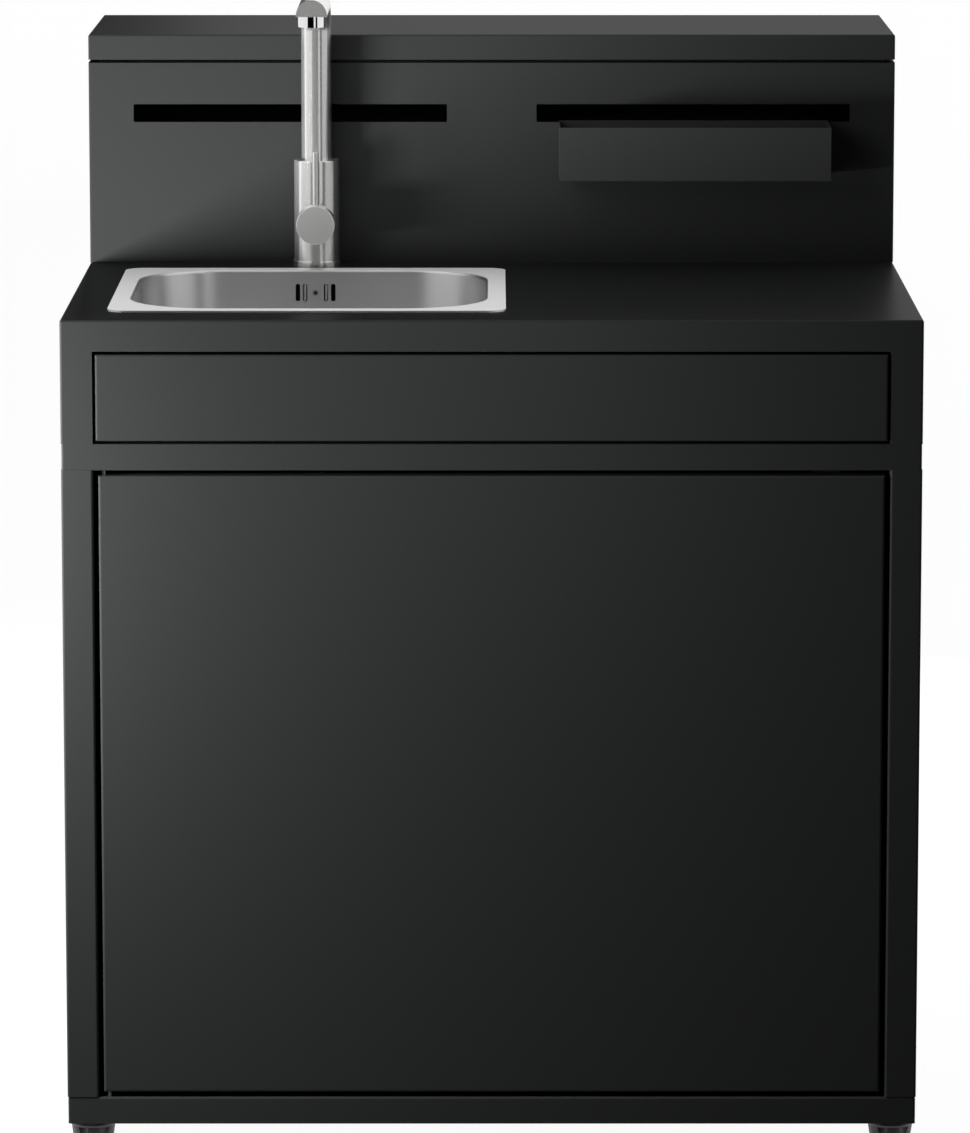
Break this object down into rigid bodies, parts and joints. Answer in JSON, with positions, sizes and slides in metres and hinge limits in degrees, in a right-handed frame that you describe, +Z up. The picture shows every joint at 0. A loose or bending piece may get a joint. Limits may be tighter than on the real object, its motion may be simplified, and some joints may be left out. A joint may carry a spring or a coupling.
{
  "type": "outdoor sink unit",
  "caption": "Free-standing outdoor sink unit in black sheet steel with a pressed stainless sink, single-lever tap, flush door, lidded backsplash box with slots and a hanging box.",
  "frame": {"origin": "centre of the footprint, on the floor", "axes": "X runs to the right along the front, Y runs to the back, Z is up; the door faces -Y"},
  "size_m": [0.9, 0.8, 1.1997],
  "materials": {
    "powder_black": "satin black powder coat",
    "stainless_brushed": "brushed stainless steel",
    "stainless_plain": "plain stainless fasteners and fittings",
    "chrome": "polished chrome",
    "brass": "turned brass",
    "plastic_black": "black moulded plastic",
    "plastic_grey": "light grey moulded plastic",
    "rubber_black": "black rubber",
    "hose_braid": "braided stainless hose"
  },
  "bodies": {
    "unit": {"base_tray": "powder_black", "foot_inserts": "stainless_plain", "side_panel_left": "powder_black", "side_panel_right": "powder_black", "back_panel": "powder_black", "back_panel_screws": "stainless_plain", "mid_frame": "powder_black", "worktop_module": "powder_black", "front_panel": "powder_black", "front_panel_screws": "stainless_plain", "backsplash_shell": "powder_black", "backsplash_back": "powder_black", "lid_buffers": "rubber_black", "lid_hinge_fixed": "stainless_plain", "upper_pivot_pin": "stainless_plain", "lower_pivot_pin": "stainless_plain", "latch_body": "plastic_black", "sink_bowl": "stainless_brushed", "sink_gasket": "rubber_black", "sink_clips": "stainless_plain", "overflow_housing": "plastic_grey", "overflow_screw": "stainless_plain", "overflow_hose": "plastic_grey", "waste_body": "stainless_plain", "waste_seal": "rubber_black", "waste_clamp_nut": "plastic_black", "trap_body": "plastic_grey", "trap_cup": "plastic_grey", "trap_nuts": "plastic_black", "waste_pipe": "plastic_grey", "pipe_grommet": "rubber_black", "tap_base_ring": "stainless_brushed", "tap_body": "stainless_brushed", "tap_neck": "stainless_brushed", "tap_shank": "brass", "tap_fixing": "brass", "cold_hose": "hose_braid", "hot_hose": "hose_braid", "hose_ferrules": "stainless_plain", "water_inlets": "brass", "inlet_nuts": "brass"},
    "door": {"door_panel": "powder_black", "door_liner": "powder_black", "door_bushes": "plastic_black", "strike_plate": "stainless_plain"},
    "lid_body": {"lid": "powder_black", "lid_hinge_moving": "stainless_plain"},
    "hanging_box": {"hanging_box": "powder_black"},
    "spout": {"spout": "stainless_brushed", "aerator": "chrome"},
    "mixer_stem": {"mixer_stem": "chrome"},
    "handle": {"handle_cap": "stainless_brushed", "lever_pin": "stainless_brushed"},
    "strainer": {"basket_strainer": "stainless_plain", "strainer_stem": "stainless_plain"},
    "latch_plunger": {"latch_plunger": "stainless_plain"},
    "foot_front_left": {"foot_front_left": "plastic_black"},
    "foot_front_right": {"foot_front_right": "plastic_black"},
    "foot_back_left": {"foot_back_left": "plastic_black"},
    "foot_back_right": {"foot_back_right": "plastic_black"}
  },
  "joints": [
    {"name": "door_hinge", "type": "hinge", "parent": "unit", "child": "door", "pos_m": [-0.4055, -0.394, 0.39575], "axis": [0, 0, -1], "range_deg": [0, 110]},
    {"name": "lid_hinge", "type": "hinge", "parent": "unit", "child": "lid_body", "pos_m": [0, 0.397, 1.1175], "axis": [-1, 0, 0], "range_deg": [0, 100]},
    {"name": "hanging_box_slide", "type": "slide", "parent": "unit", "child": "hanging_box", "axis": [1, 0, 0], "range_m": [-0.024, 0.024]},
    {"name": "spout_swivel", "type": "hinge", "parent": "unit", "child": "spout", "pos_m": [-0.195, 0.0845, 1.1], "axis": [0, 0, 1], "range_deg": [-70, 70]},
    {"name": "handle_turn", "type": "hinge", "parent": "unit", "child": "mixer_stem", "pos_m": [-0.195, 0.0645, 0.9415], "axis": [0, 1, 0], "range_deg": [-45, 45]},
    {"name": "handle_tilt", "type": "hinge", "parent": "mixer_stem", "child": "handle", "pos_m": [-0.195, 0.0405, 0.9415], "axis": [1, 0, 0], "range_deg": [0, 22]},
    {"name": "strainer_lift", "type": "slide", "parent": "unit", "child": "strainer", "axis": [0, 0, 1], "range_m": [0, 0.2]},
    {"name": "latch_push", "type": "slide", "parent": "unit", "child": "latch_plunger", "axis": [0, 1, 0], "range_m": [0, 0.004], "stiffness_N_per_m": 500},
    {"name": "foot_front_left_screw", "type": "slide", "parent": "unit", "child": "foot_front_left", "axis": [0, 0, 1], "range_m": [-0.012, 0]},
    {"name": "foot_front_right_screw", "type": "slide", "parent": "unit", "child": "foot_front_right", "axis": [0, 0, 1], "range_m": [-0.012, 0]},
    {"name": "foot_back_left_screw", "type": "slide", "parent": "unit", "child": "foot_back_left", "axis": [0, 0, 1], "range_m": [-0.012, 0]},
    {"name": "foot_back_right_screw", "type": "slide", "parent": "unit", "child": "foot_back_right", "axis": [0, 0, 1], "range_m": [-0.012, 0]}
  ]
}
